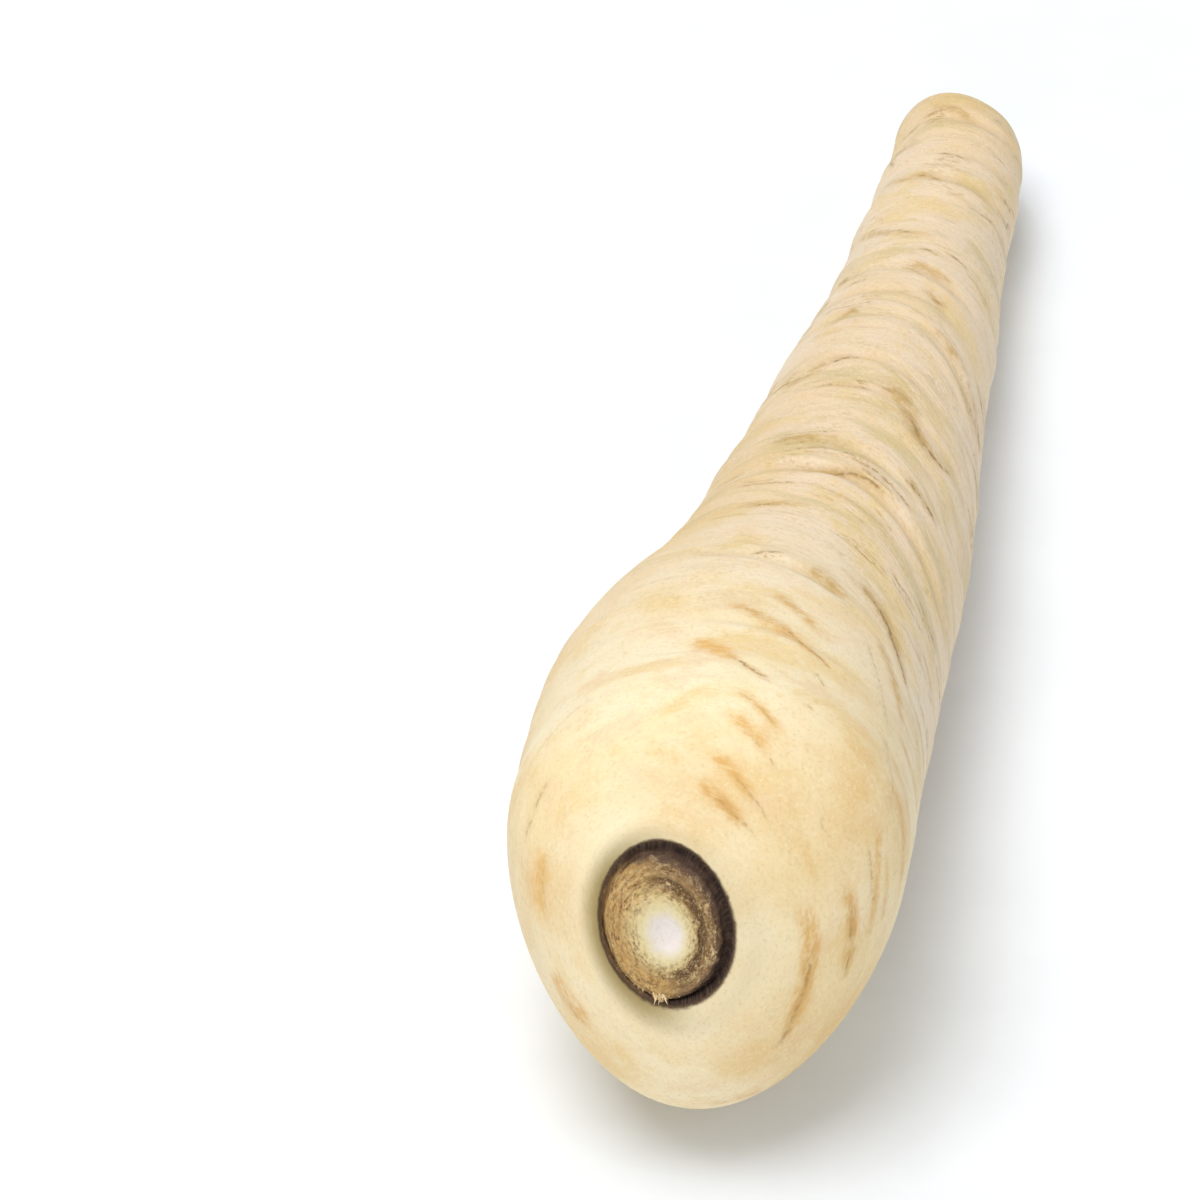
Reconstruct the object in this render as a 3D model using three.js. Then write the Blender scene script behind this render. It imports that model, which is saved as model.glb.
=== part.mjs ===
// A trimmed parsnip root that lies on its side, crown towards -Y and tail towards +Y.
// It grew as one piece, so it is one closed surface, with the cut leaf stump in its crown.
// Millimetres, +Z up; the origin is under the middle of the root, on the surface it lies on.
//
// Every point of the surface has three numbers. "along" runs from the front of the crown to the
// tail, "share" is how far out it lies in the cross-section there, from 0 at the middle to 1 on
// the skin, and "turn" is its angle round the section: 0 on the +X side and a quarter turn on top.
import * as THREE from "three";

const degrees = Math.PI / 180;

// The root's middle line and its half width, from the crown to the tail.
const STATIONS = [
  { along: 0, side: 1.8, height: 51, half: 29.2 },
  { along: 30, side: -1.2, height: 39.3, half: 30.8 },
  { along: 60, side: -2.6, height: 32.5, half: 30.3 },
  { along: 95, side: 0.8, height: 26.2, half: 25 },
  { along: 130, side: 2, height: 22.2, half: 21.1 },
  { along: 165, side: 2.8, height: 18.4, half: 17.4 },
  { along: 200, side: 2, height: 15, half: 14.5 },
  { along: 225, side: 1.7, height: 13.3, half: 12.6 },
  { along: 245, side: 0.9, height: 12.2, half: 11.4 },
];
const LENGTH = 244.5;

// The cross-section: a little taller than wide, with a deep chin and an egg shape at the crown.
const OVAL_BODY = 1.05;
const OVAL_CHIN = 1.29;
const EGG = 0.155;
const SKEW = 0.03;
const CROWN_REACH = 45;

// The shoulder, from the front of the crown back to its full width.
const CROWN_DEPTH = 23.5;
const CROWN_POWER_TOP = 1.9;
const CROWN_POWER_CHIN = 3.2;

// The pit where the leaves were cut off, and the stump in it.
const PIT_SIDE = -3.7;
const PIT_UP = -1;
const PIT_HALF_WIDTH = 10.2;
const PIT_HALF_HEIGHT = 13.3;
const PIT_TILT = 14 * degrees;
const PIT_LIP = 0.5;
const LIP_OUT = 0.07;
const LIP_WIDTH = 0.06;
const GROOVE_DEPTH = 3;
const GROOVE_NARROW_SIDE = 0.3;
const GROOVE_WIDEST = -0.5;
const STUMP_SIDE = -0.7;
const STUMP_DROP = -1.3;
const STUMP_SINK = 1;
const CORE_DROP = -1.9;
const CORE_SINK = 0.9;
const STEP_DEPTH = 0.7;

// The pit's rings, as shares of the way from the middle of the stump to the rim.
const CORE_RING = [0.05, 0.34];
const STEP_RING = { middle: 0.58, width: 0.07 };
const GROOVE_RING = [0.83, 0.9];
const WALL_RING = [0.92, 1];
const STUMP_SPREADS = [0.12, 0.7];
const STUMP_CLOSES = [0.8, 1];

// The skin's growth lines: on the +X side they run closer to the crown than on top.
const GROWTH_LEAN = 13.5;
const LEAN_RISES = [30, 75];
const LEAN_FALLS = [150, 205];
const SWELL = 0.45;

// The folds across the root that are deep enough to see from a step away.
const FOLD_WIDTH = 1.5;
const FOLD_RIM = 0.45;
const RIDGE_OUT = 2;
const RIDGE_WIDTH = 0.9;
const TROUGH_WIDTH = 0.8;
const FOLDS = [
  { along: 41, turn: 80, spread: 34, depth: 0.45 },
  { along: 53, turn: 205, spread: 48, depth: 0.45 },
  { along: 64, turn: 92, spread: 40, depth: 0.5 },
  { along: 75, turn: 318, spread: 44, depth: 0.45 },
  { along: 86, turn: 112, spread: 46, depth: 0.7 },
  { along: 95, turn: 228, spread: 52, depth: 0.65 },
  { along: 103, turn: 66, spread: 50, depth: 0.9 },
  { along: 112, turn: 100, spread: 58, depth: 0.7 },
  { along: 121, turn: 188, spread: 50, depth: 0.8 },
  { along: 132, turn: 48, spread: 56, depth: 1 },
  { along: 141, turn: 112, spread: 48, depth: 0.8 },
  { along: 149, turn: 252, spread: 60, depth: 0.8 },
  { along: 157, turn: 58, spread: 52, depth: 0.8 },
  { along: 167, turn: 132, spread: 60, depth: 0.7 },
  { along: 176, turn: 66, spread: 56, depth: 0.8 },
  { along: 184, turn: 305, spread: 62, depth: 0.7 },
  { along: 192, turn: 96, spread: 74, depth: 0.8 },
  { along: 201, turn: 214, spread: 66, depth: 0.7 },
  { along: 209, turn: 92, spread: 78, depth: 0.7 },
  { along: 219, turn: 8, spread: 70, depth: 0.6 },
  { along: 230, turn: 96, spread: 70, depth: 0.6 },
];

// The trimmed tail: a slightly slanted cut with a rounded rim and a shallow dish.
const TAIL_LIP = 8;
const TAIL_SLANT = -1.8;
const TAIL_SLANT_REACH = 30;
const TAIL_DISH = 0.6;
const TAIL_PLAIN = 12;

// The underside: pressed flat where it carries the weight, and arched between those two spots.
const REST_DEPTH = 0.8;
const ARCH = 0.09;
const ARCH_RISES = [80, 115];
const ARCH_FALLS = [200, 225];

// How finely the surface is divided.
const COLUMNS = 48;
const PIT_ROWS = [0.16, 0.3, 0.42, 0.5, 0.57, 0.65, 0.74, 0.83, 0.86, 0.89, 0.92, 0.96];
const SHOULDER_ROWS = 11;
const BODY_ROW_GAP = 6;
const LEAST_ROW_GAP = 1.2;
const LIP_ROWS = 4;
const TAIL_FACE_ROWS = [0.72, 0.36];

// Rises smoothly from 0 at low to 1 at high.
function rise(low, high, value) {
  return THREE.MathUtils.smoothstep(value, low, high);
}

// A bell of height 1 round middle.
function bell(value, middle, width) {
  return Math.exp(-(((value - middle) / width) ** 2));
}

// The slope of a named size at station i: that of the line between the stations beside it.
function slopeAt(name, i) {
  const before = STATIONS[Math.max(i - 1, 0)];
  const after = STATIONS[Math.min(i + 1, STATIONS.length - 1)];
  return (after[name] - before[name]) / (after.along - before.along);
}

// A named size anywhere along the root, on a smooth curve through the stations.
function sizeAt(name, along) {
  const last = STATIONS.length - 1;
  const first = STATIONS[0];
  const end = STATIONS[last];
  if (along < first.along) return first[name] + slopeAt(name, 0) * (along - first.along);
  if (along > end.along) return end[name] + slopeAt(name, last) * (along - end.along);
  const i = Math.min(STATIONS.findLastIndex((s) => s.along <= along), last - 1);
  const gap = STATIONS[i + 1].along - STATIONS[i].along;
  const t = (along - STATIONS[i].along) / gap;
  const near = (2 * t ** 3 - 3 * t ** 2 + 1) * STATIONS[i][name];
  const far = (3 * t ** 2 - 2 * t ** 3) * STATIONS[i + 1][name];
  const leave = (t ** 3 - 2 * t ** 2 + t) * gap * slopeAt(name, i);
  const arrive = (t ** 3 - t ** 2) * gap * slopeAt(name, i + 1);
  return near + far + leave + arrive;
}

// The point of the middle line at a distance along the root.
function middleAt(along) {
  return new THREE.Vector3(sizeAt("side", along), along, sizeAt("height", along));
}

// A point of the section there, given by its offsets to the side and upwards.
function placed(along, side, up) {
  const ahead = middleAt(along + 0.5).sub(middleAt(along - 0.5)).normalize();
  const sideways = new THREE.Vector3().crossVectors(ahead, new THREE.Vector3(0, 0, 1)).normalize();
  const upwards = new THREE.Vector3().crossVectors(sideways, ahead);
  return middleAt(along).addScaledVector(sideways, side).addScaledVector(upwards, up);
}

// The section's offsets at a share of its size, with relief added to the skin.
function sectionAt(along, share, turn, relief) {
  const crown = bell(along, 0, CROWN_REACH);
  const chin = (OVAL_CHIN - OVAL_BODY) * crown;
  const arch = ARCH * rise(...ARCH_RISES, along) * (1 - rise(...ARCH_FALLS, along));
  const oval = Math.sin(turn) > 0 ? OVAL_BODY : OVAL_BODY + chin - arch;
  const reach = sizeAt("half", along) * share + relief;
  const up = reach * Math.sin(turn) * oval;
  const side = reach * Math.cos(turn) * (1 + EGG * crown * Math.sin(turn)) - SKEW * crown * up;
  return { side: side + (1 - share) * PIT_SIDE, up: up + (1 - share) * PIT_UP };
}

// How square the shoulder is: rounder on top, fuller at the chin.
function shoulderPower(turn) {
  const low = 0.5 - 0.5 * Math.sin(turn);
  return CROWN_POWER_TOP + (CROWN_POWER_CHIN - CROWN_POWER_TOP) * low;
}

// The share of the section at which the shoulder meets the pit's oval rim.
function rimShare(turn) {
  const edge = sectionAt(0, 1, turn, 0);
  const side = edge.side - PIT_SIDE;
  const up = edge.up - PIT_UP;
  const angle = Math.atan2(up, side) - PIT_TILT;
  const oval = Math.hypot(Math.cos(angle) / PIT_HALF_WIDTH, Math.sin(angle) / PIT_HALF_HEIGHT);
  return 1 / oval / Math.hypot(side, up);
}

// A point of the shoulder: t runs from 0 on the pit's rim to 1 at the full width.
function shoulderPoint(t, turn) {
  const power = shoulderPower(turn);
  const start = Math.asin(rimShare(turn) ** (power / 2));
  const bend = start + (Math.PI / 2 - start) * t;
  const share = Math.sin(bend) ** (2 / power);
  const back = CROWN_DEPTH * (1 - Math.cos(bend) ** (2 / power));
  const lip = PIT_LIP * bell(share, rimShare(turn) + LIP_OUT, LIP_WIDTH);
  const relief = swellAt(back, turn) * rise(0.3, 1, t);
  return { along: back - lip, ...sectionAt(back, share, turn, relief) };
}

// How deep the pit is below its rim, at a share of the way from its middle to the rim.
function pitDepth(part, turn) {
  const facing = 0.5 + 0.5 * Math.cos(turn - GROOVE_WIDEST);
  const wide = THREE.MathUtils.lerp(GROOVE_NARROW_SIDE, 1, facing);
  const groove = (GROOVE_DEPTH - STUMP_SINK) * wide * rise(...GROOVE_RING, part);
  const core = CORE_SINK * (1 - rise(...CORE_RING, part));
  const step = STEP_DEPTH * bell(part, STEP_RING.middle, STEP_RING.width) * wide;
  return (STUMP_SINK + core + step + groove) * (1 - rise(...WALL_RING, part));
}

// A point of the pit: part runs from 0 at the stump's middle to 1 on the rim.
function pitPoint(part, turn) {
  const rim = shoulderPoint(0, turn);
  const spread = rise(...STUMP_SPREADS, part);
  const held = 1 - rise(...STUMP_CLOSES, part);
  const shift = STUMP_SIDE * spread * held;
  const drop = THREE.MathUtils.lerp(CORE_DROP, STUMP_DROP, spread) * held;
  return {
    along: rim.along * part ** 2 + pitDepth(part, turn),
    side: THREE.MathUtils.lerp(PIT_SIDE, rim.side, part) + shift,
    up: THREE.MathUtils.lerp(PIT_UP, rim.up, part) + drop,
  };
}

// The slow swellings that keep the skin from being a true cone: three waves that never line up.
function swellAt(along, turn) {
  const long = Math.sin(2 * turn + along / 41);
  const round = Math.sin(along / 17 + 1.2 * Math.cos(turn + 0.7));
  const fine = 0.5 * Math.sin(along / 8.3 + 2.1 * Math.sin(turn - 0.4));
  return SWELL * (0.6 * long + 0.8 * round + fine);
}

// The folds: each is a trough across part of the skin, with a soft ridge on both its sides.
function foldsAt(line, turn) {
  let offset = 0;
  for (const fold of FOLDS) {
    const gap = Math.abs(line - fold.along) / FOLD_WIDTH;
    const away = THREE.MathUtils.euclideanModulo(turn / degrees - fold.turn + 180, 360) - 180;
    const window = bell(away, 0, fold.spread);
    const ridges = FOLD_RIM * bell(gap, RIDGE_OUT, RIDGE_WIDTH);
    offset += fold.depth * window * (ridges - bell(gap, 0, TROUGH_WIDTH));
  }
  return offset;
}

// A point of the long skin: line is the growth line that it lies on.
function bodyPoint(line, turn) {
  const lean = GROWTH_LEAN * rise(...LEAN_RISES, line) * (1 - rise(...LEAN_FALLS, line));
  const along = line - lean * Math.max(Math.cos(turn), 0) ** 2;
  const tail = 1 - rise(LENGTH - TAIL_PLAIN, LENGTH - TAIL_LIP, line);
  const relief = (swellAt(along, turn) + foldsAt(line, turn)) * tail;
  return { along, ...sectionAt(along, 1, turn, relief) };
}

// A point of the tail's rounded rim: t runs from 0 on the skin to 1 on the cut face.
function lipPoint(t, turn) {
  const bend = (Math.PI / 2) * t;
  const share = 1 - (TAIL_LIP / sizeAt("half", LENGTH)) * (1 - Math.cos(bend));
  const along = LENGTH - TAIL_LIP * (1 - Math.sin(bend));
  return { along, ...sectionAt(along, share, turn, 0) };
}

// A point of the cut face: part runs from 1 at its edge to 0 in its middle.
function tailFacePoint(part, turn) {
  const edge = lipPoint(1, turn);
  const along = LENGTH - TAIL_DISH * (1 - part ** 2);
  return { along, side: edge.side * part, up: edge.up * part };
}

// The growth lines that get a row of points: an even series, and three on each fold.
function bodyLines() {
  const lines = FOLDS.flatMap((fold) => [fold.along - FOLD_WIDTH, fold.along, fold.along + FOLD_WIDTH]);
  const start = CROWN_DEPTH + BODY_ROW_GAP;
  const end = LENGTH - TAIL_LIP;
  for (let line = start; line < end - LEAST_ROW_GAP; line += BODY_ROW_GAP) {
    const crowded = FOLDS.some((fold) => Math.abs(fold.along - line) < FOLD_WIDTH + LEAST_ROW_GAP);
    if (!crowded) lines.push(line);
  }
  lines.push(end);
  return lines.sort((a, b) => a - b);
}

// A point in space, from its place in the section: the tail's slant and the flat spots are last.
function settled(point) {
  const half = sizeAt("half", point.along);
  const tail = rise(LENGTH - TAIL_SLANT_REACH, LENGTH, point.along);
  const slant = TAIL_SLANT * tail * (point.side / half);
  const spot = placed(point.along + slant, point.side, point.up);
  spot.z = Math.max(spot.z - REST_DEPTH, 0);
  return spot;
}

// All the rows of points from the stump to the tail, each a list of points round the root.
function rowsOfPoints() {
  const around = (pointAt, value) =>
    Array.from({ length: COLUMNS }, (_, i) => settled(pointAt(value, (i / COLUMNS) * 2 * Math.PI)));
  const rows = PIT_ROWS.map((part) => around(pitPoint, part));
  for (let i = 0; i <= SHOULDER_ROWS; i++) rows.push(around(shoulderPoint, i / SHOULDER_ROWS));
  for (const line of bodyLines()) rows.push(around(bodyPoint, line));
  for (let i = 1; i <= LIP_ROWS; i++) rows.push(around(lipPoint, i / LIP_ROWS));
  for (const part of TAIL_FACE_ROWS) rows.push(around(tailFacePoint, part));
  return rows;
}

// The closed surface: bands of triangles between the rows, and a fan at each end.
function rootGeometry() {
  const rows = rowsOfPoints();
  const points = rows.flat();
  const stumpMiddle = points.push(settled(pitPoint(0, 0))) - 1;
  const tailMiddle = points.push(settled(tailFacePoint(0, 0))) - 1;
  const faces = [];
  for (let i = 0; i < COLUMNS; i++) {
    const next = (i + 1) % COLUMNS;
    faces.push(stumpMiddle, i, next);
    for (let row = 0; row < rows.length - 1; row++) {
      const here = row * COLUMNS;
      const there = here + COLUMNS;
      faces.push(here + i, there + i, there + next);
      faces.push(here + i, there + next, here + next);
    }
    const last = (rows.length - 1) * COLUMNS;
    faces.push(last + i, tailMiddle, last + next);
  }
  const geometry = new THREE.BufferGeometry().setFromPoints(points);
  geometry.setIndex(faces);
  geometry.computeBoundingBox();
  const middle = geometry.boundingBox.getCenter(new THREE.Vector3());
  geometry.translate(-middle.x, -middle.y, 0);
  geometry.computeVertexNormals();
  return geometry;
}

const skin = new THREE.MeshStandardMaterial({ color: 0xeadcb4, roughness: 0.55, metalness: 0 });
const root = new THREE.Mesh(rootGeometry(), skin);
root.name = "parsnip";

const parsnip = new THREE.Group();
parsnip.add(root);

export default parsnip;
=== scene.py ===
"""The looks of a trimmed parsnip root: its skin with folds, scars and stains, the cut leaf stump
in the crown's pit with torn fibres, and the pale cut face of the tail, on a plain pale floor.
The form's sizes are in millimetres and are turned to metres as each mesh is made."""
import bpy
import numpy as np
from mathutils import Matrix, Vector


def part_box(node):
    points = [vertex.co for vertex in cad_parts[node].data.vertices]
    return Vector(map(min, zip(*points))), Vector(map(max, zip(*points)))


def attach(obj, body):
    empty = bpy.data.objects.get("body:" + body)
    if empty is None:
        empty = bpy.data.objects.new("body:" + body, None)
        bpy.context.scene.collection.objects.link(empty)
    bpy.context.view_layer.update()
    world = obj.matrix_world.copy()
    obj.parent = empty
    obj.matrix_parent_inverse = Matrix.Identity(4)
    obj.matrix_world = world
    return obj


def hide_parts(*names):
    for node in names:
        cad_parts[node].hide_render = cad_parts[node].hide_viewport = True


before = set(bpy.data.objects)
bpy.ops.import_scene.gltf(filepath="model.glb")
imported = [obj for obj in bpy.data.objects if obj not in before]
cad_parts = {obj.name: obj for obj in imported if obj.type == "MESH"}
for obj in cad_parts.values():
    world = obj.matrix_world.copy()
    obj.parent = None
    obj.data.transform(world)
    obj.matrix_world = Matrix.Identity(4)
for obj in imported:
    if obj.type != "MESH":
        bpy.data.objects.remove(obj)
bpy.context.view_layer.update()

MM = 0.001

# The root's middle line and half width, in millimetres: along, side, height, half width.
STATIONS = np.array([
    (0, 1.8, 51.0, 29.2),
    (30, -1.2, 39.3, 30.8),
    (60, -2.6, 32.5, 30.3),
    (95, 0.8, 26.2, 25.0),
    (130, 2.0, 22.2, 21.1),
    (165, 2.8, 18.4, 17.4),
    (200, 2.0, 15.0, 14.5),
    (225, 1.7, 13.3, 12.6),
    (245, 0.9, 12.2, 11.4),
])
SIDE, HEIGHT, HALF = 1, 2, 3
LENGTH = 244.5

# The cross-section and the shoulder.
OVAL_BODY = 1.05
OVAL_CHIN = 1.29
EGG = 0.155
SKEW = 0.03
CROWN_REACH = 45
CROWN_DEPTH = 23.5
CROWN_POWER_TOP = 1.9
CROWN_POWER_CHIN = 3.2

# The pit in the crown and the cut stump in it; the rings are shares of the way to the rim.
PIT_SIDE = -3.7
PIT_UP = -1.0
PIT_HALF_WIDTH = 10.2
PIT_HALF_HEIGHT = 13.3
PIT_TILT = np.radians(14)
PIT_LIP = 0.5
LIP_OUT = 0.07
LIP_WIDTH = 0.06
GROOVE_DEPTH = 3.0
GROOVE_NARROW_SIDE = 0.3
GROOVE_WIDEST = -0.5
STUMP_SIDE = -0.7
STUMP_DROP = -1.3
STUMP_SINK = 1.0
CORE_DROP = -1.9
CORE_SINK = 0.9
STEP_DEPTH = 0.7
CORE_RING = (0.05, 0.34)
STEP_MIDDLE = 0.58
STEP_WIDTH = 0.07
GROOVE_RING = (0.83, 0.9)
WALL_RING = (0.92, 1.0)
STUMP_SPREADS = (0.12, 0.7)
STUMP_CLOSES = (0.8, 1.0)

# The growth lines, the slow swellings and the folds: along, turn, spread, depth.
GROWTH_LEAN = 13.5
LEAN_RISES = (30, 75)
LEAN_FALLS = (150, 205)
SWELL = 0.45
FOLD_WIDTH = 1.5
FOLD_RIM = 0.45
RIDGE_OUT = 2.0
RIDGE_WIDTH = 0.9
TROUGH_WIDTH = 0.8
FOLD_LEAST = 0.15
FOLD_PATCH = 7.0
FOLD_CELLS = 9
FOLD_SEED = 31
FOLDS = [
    (41, 80, 34, 0.45),
    (53, 205, 48, 0.45),
    (64, 92, 40, 0.5),
    (75, 318, 44, 0.45),
    (86, 112, 46, 0.7),
    (95, 228, 52, 0.65),
    (103, 66, 50, 0.9),
    (112, 100, 58, 0.7),
    (121, 188, 50, 0.8),
    (132, 48, 56, 1.0),
    (141, 112, 48, 0.8),
    (149, 252, 60, 0.8),
    (157, 58, 52, 0.8),
    (167, 132, 60, 0.7),
    (176, 66, 56, 0.8),
    (184, 305, 62, 0.7),
    (192, 96, 74, 0.8),
    (201, 214, 66, 0.7),
    (209, 92, 78, 0.7),
    (219, 8, 70, 0.6),
    (230, 96, 70, 0.6),
]

# The trimmed tail and the flat spots it lies on.
TAIL_LIP = 8.0
TAIL_SLANT = -1.8
TAIL_SLANT_REACH = 30
TAIL_DISH = 0.6
TAIL_PLAIN = 12
REST_DEPTH = 0.8
ARCH = 0.09
ARCH_RISES = (80, 115)
ARCH_FALLS = (200, 225)

# How finely the surface is divided: columns round the root, and rows in each stretch of it.
COLUMNS = 176
PIT_ROWS = 90
SHOULDER_ROWS = 84
BODY_ROWS = 340
LIP_ROWS = 12
FACE_ROWS = 12

# The random relief's lattice: how far before the pit's rim it starts, and its whole length.
LATTICE_BEFORE = 24
LATTICE_LENGTH = 360


def rise(low, high, value):
    """Rises smoothly from 0 at low to 1 at high: three times the square less twice the cube."""
    t = np.clip((value - low) / (high - low), 0, 1)
    return t * t * (3 - 2 * t)


def bell(value, middle, width):
    """A bell of height 1: e to the minus square of the distance from the middle over the width."""
    return np.exp(-(((value - middle) / width) ** 2))


def cubic(t, start, end, leaving, arriving):
    """The cubic from start, at t = 0, to end, at t = 1, with its slope at each of them."""
    curve = (2 * t**3 - 3 * t**2 + 1) * start + (3 * t**2 - 2 * t**3) * end
    return curve + (t**3 - 2 * t**2 + t) * leaving + (t**3 - t**2) * arriving


def lattice(run, turn, step, cells, seed):
    """Smooth random relief from -1 to 1: seeded random values on a lattice with a row every step
    along the skin and a number of cells round it, blended between neighbours by smooth weights."""
    values = np.random.default_rng(seed).uniform(-1, 1, (int(LATTICE_LENGTH / step), cells))
    row = run / step + LATTICE_BEFORE / step
    column = turn / (2 * np.pi) * cells
    i = np.floor(row).astype(int)
    j = np.floor(column).astype(int)
    s, t = rise(0, 1, row - i), rise(0, 1, column - j)
    near = values[i, j % cells] * (1 - t) + values[i, (j + 1) % cells] * t
    far = values[i + 1, j % cells] * (1 - t) + values[i + 1, (j + 1) % cells] * t
    return near * (1 - s) + far * s


def size_at(column, along):
    """One column of the stations anywhere along the root: between two stations it is the cubic
    whose slope at each is that of the line between its neighbours; past the ends it is straight."""
    x, y = STATIONS[:, 0], STATIONS[:, column]
    before = np.maximum(np.arange(len(x)) - 1, 0)
    after = np.minimum(np.arange(len(x)) + 1, len(x) - 1)
    slope = (y[after] - y[before]) / (x[after] - x[before])
    i = np.clip(np.searchsorted(x, along, side="right") - 1, 0, len(x) - 2)
    gap = x[i + 1] - x[i]
    t = np.clip((along - x[i]) / gap, 0, 1)
    curve = cubic(t, y[i], y[i + 1], gap * slope[i], gap * slope[i + 1])
    return curve + np.minimum(along - x[0], 0) * slope[0] + np.maximum(along - x[-1], 0) * slope[-1]


def middle_at(along):
    """The middle line's points: side and height from the stations, and the distance itself."""
    return np.stack([size_at(SIDE, along), along, size_at(HEIGHT, along)], -1)


def placed(along, side, up):
    """Points of the cross-sections: the middle line's point, plus the offsets along the section's
    two axes, which are square to the middle line, one of them level."""
    ahead = middle_at(along + 0.5) - middle_at(along - 0.5)
    ahead /= np.linalg.norm(ahead, axis=-1, keepdims=True)
    level = np.cross(ahead, (0, 0, 1))
    level /= np.linalg.norm(level, axis=-1, keepdims=True)
    return middle_at(along) + side[..., None] * level + up[..., None] * np.cross(level, ahead)


def section_at(along, share, turn, relief):
    """Offsets in the cross-section: an oval of the half width times the share, plus the relief,
    wider above than below at the crown, with the chin's extra depth under it; what is left of the
    share moves the middle to that of the pit."""
    crown = bell(along, 0, CROWN_REACH)
    arch = ARCH * rise(*ARCH_RISES, along) * (1 - rise(*ARCH_FALLS, along))
    oval = np.where(np.sin(turn) > 0, OVAL_BODY, OVAL_BODY + (OVAL_CHIN - OVAL_BODY) * crown - arch)
    reach = size_at(HALF, along) * share + relief
    up = reach * np.sin(turn) * oval
    side = reach * np.cos(turn) * (1 + EGG * crown * np.sin(turn)) - SKEW * crown * up
    return side + (1 - share) * PIT_SIDE, up + (1 - share) * PIT_UP


def swell_at(along, turn):
    """Three slow waves added up, one long, one round the root and one finer, so that none repeat."""
    long_wave = np.sin(2 * turn + along / 41)
    round_wave = np.sin(along / 17 + 1.2 * np.cos(turn + 0.7))
    fine_wave = 0.5 * np.sin(along / 8.3 + 2.1 * np.sin(turn - 0.4))
    return SWELL * (0.6 * long_wave + 0.8 * round_wave + fine_wave)


def folds_at(line, turn):
    """Each fold is a bell-shaped trough with a lower ridge on both sides, fading round the root by
    a bell of its spread. Returns the offset of the skin and how deep in a fold each point is."""
    offset = np.zeros(np.broadcast(line, turn).shape)
    depth = np.zeros_like(offset)
    for along, middle, spread, deep in FOLDS:
        gap = np.abs(line - along) / FOLD_WIDTH
        away = np.mod(np.degrees(turn) - middle + 180, 360) - 180
        window = bell(away, 0, spread)
        trough = bell(gap, 0, TROUGH_WIDTH) * window
        offset += deep * (FOLD_RIM * bell(gap, RIDGE_OUT, RIDGE_WIDTH) * window - trough)
        depth += deep * trough
    return offset, depth


def shoulder_power(turn):
    """The shoulder's squareness, from its value on top to that at the chin by the sine of turn."""
    return CROWN_POWER_TOP + (CROWN_POWER_CHIN - CROWN_POWER_TOP) * (0.5 - 0.5 * np.sin(turn))


def rim_share(turn):
    """The share of the first section at which the pit's tilted oval rim crosses the line from the
    pit's middle to the section's edge."""
    flat = np.zeros_like(turn)
    side, up = section_at(flat, flat + 1, turn, flat)
    angle = np.arctan2(up - PIT_UP, side - PIT_SIDE) - PIT_TILT
    oval = np.hypot(np.cos(angle) / PIT_HALF_WIDTH, np.sin(angle) / PIT_HALF_HEIGHT)
    return 1 / oval / np.hypot(side - PIT_SIDE, up - PIT_UP)


def shoulder(t, turn):
    """The shoulder is a quarter of a rounded square from the rim, t = 0, to the full width, t = 1,
    with a low lip round the pit. Returns along, side and up."""
    power = shoulder_power(turn)
    rim = rim_share(turn)
    start = np.arcsin(rim ** (power / 2))
    bend = start + (np.pi / 2 - start) * t
    share = np.sin(bend) ** (2 / power)
    back = CROWN_DEPTH * (1 - np.clip(np.cos(bend), 0, 1) ** (2 / power))
    relief = swell_at(back, turn) * rise(0.3, 1, t)
    return (back - PIT_LIP * bell(share, rim + LIP_OUT, LIP_WIDTH), *section_at(back, share, turn, relief))


def pit_depth(part, turn):
    """The stump lies a little under the rim, its core deeper, with a step round the core and a
    groove round the stump that is deepest on one side; the wall rises to the rim."""
    wide = GROOVE_NARROW_SIDE + (1 - GROOVE_NARROW_SIDE) * (0.5 + 0.5 * np.cos(turn - GROOVE_WIDEST))
    groove = (GROOVE_DEPTH - STUMP_SINK) * wide * rise(*GROOVE_RING, part)
    core = CORE_SINK * (1 - rise(*CORE_RING, part))
    step = STEP_DEPTH * bell(part, STEP_MIDDLE, STEP_WIDTH) * wide
    return (STUMP_SINK + core + step + groove) * (1 - rise(*WALL_RING, part))


def pit(part, turn):
    """The pit's points lie on lines from the stump's middle, part = 0, to the rim, part = 1, moved
    to the stump's own side and sunk by the pit's depth. Returns along, side and up."""
    along, side, up = shoulder(np.zeros_like(turn), turn)
    spread = rise(*STUMP_SPREADS, part)
    held = 1 - rise(*STUMP_CLOSES, part)
    shift = STUMP_SIDE * spread * held
    drop = (CORE_DROP + (STUMP_DROP - CORE_DROP) * spread) * held
    return (
        along * part**2 + pit_depth(part, turn),
        PIT_SIDE + (side - PIT_SIDE) * part + shift,
        PIT_UP + (up - PIT_UP) * part + drop,
    )


def body(line, turn):
    """The long skin: each growth line leans towards the crown on the +X side by the square of the
    cosine of turn; swellings and folds are added, the folds in a broken way, by patches of random
    depth. Returns along, side, up and the folds' depth."""
    lean = GROWTH_LEAN * rise(*LEAN_RISES, line) * (1 - rise(*LEAN_FALLS, line))
    along = line - lean * np.maximum(np.cos(turn), 0) ** 2
    plain = 1 - rise(LENGTH - TAIL_PLAIN, LENGTH - TAIL_LIP, line)
    offset, depth = folds_at(line, turn)
    whole = lattice(line + 0 * turn, turn + 0 * line, FOLD_PATCH, FOLD_CELLS, FOLD_SEED)
    whole = FOLD_LEAST + (1 - FOLD_LEAST) * rise(-0.5, 0.5, whole)
    relief = (swell_at(along, turn) + offset * whole) * plain
    return (along, *section_at(along, np.ones_like(along), turn, relief), depth * whole * plain)


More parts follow.
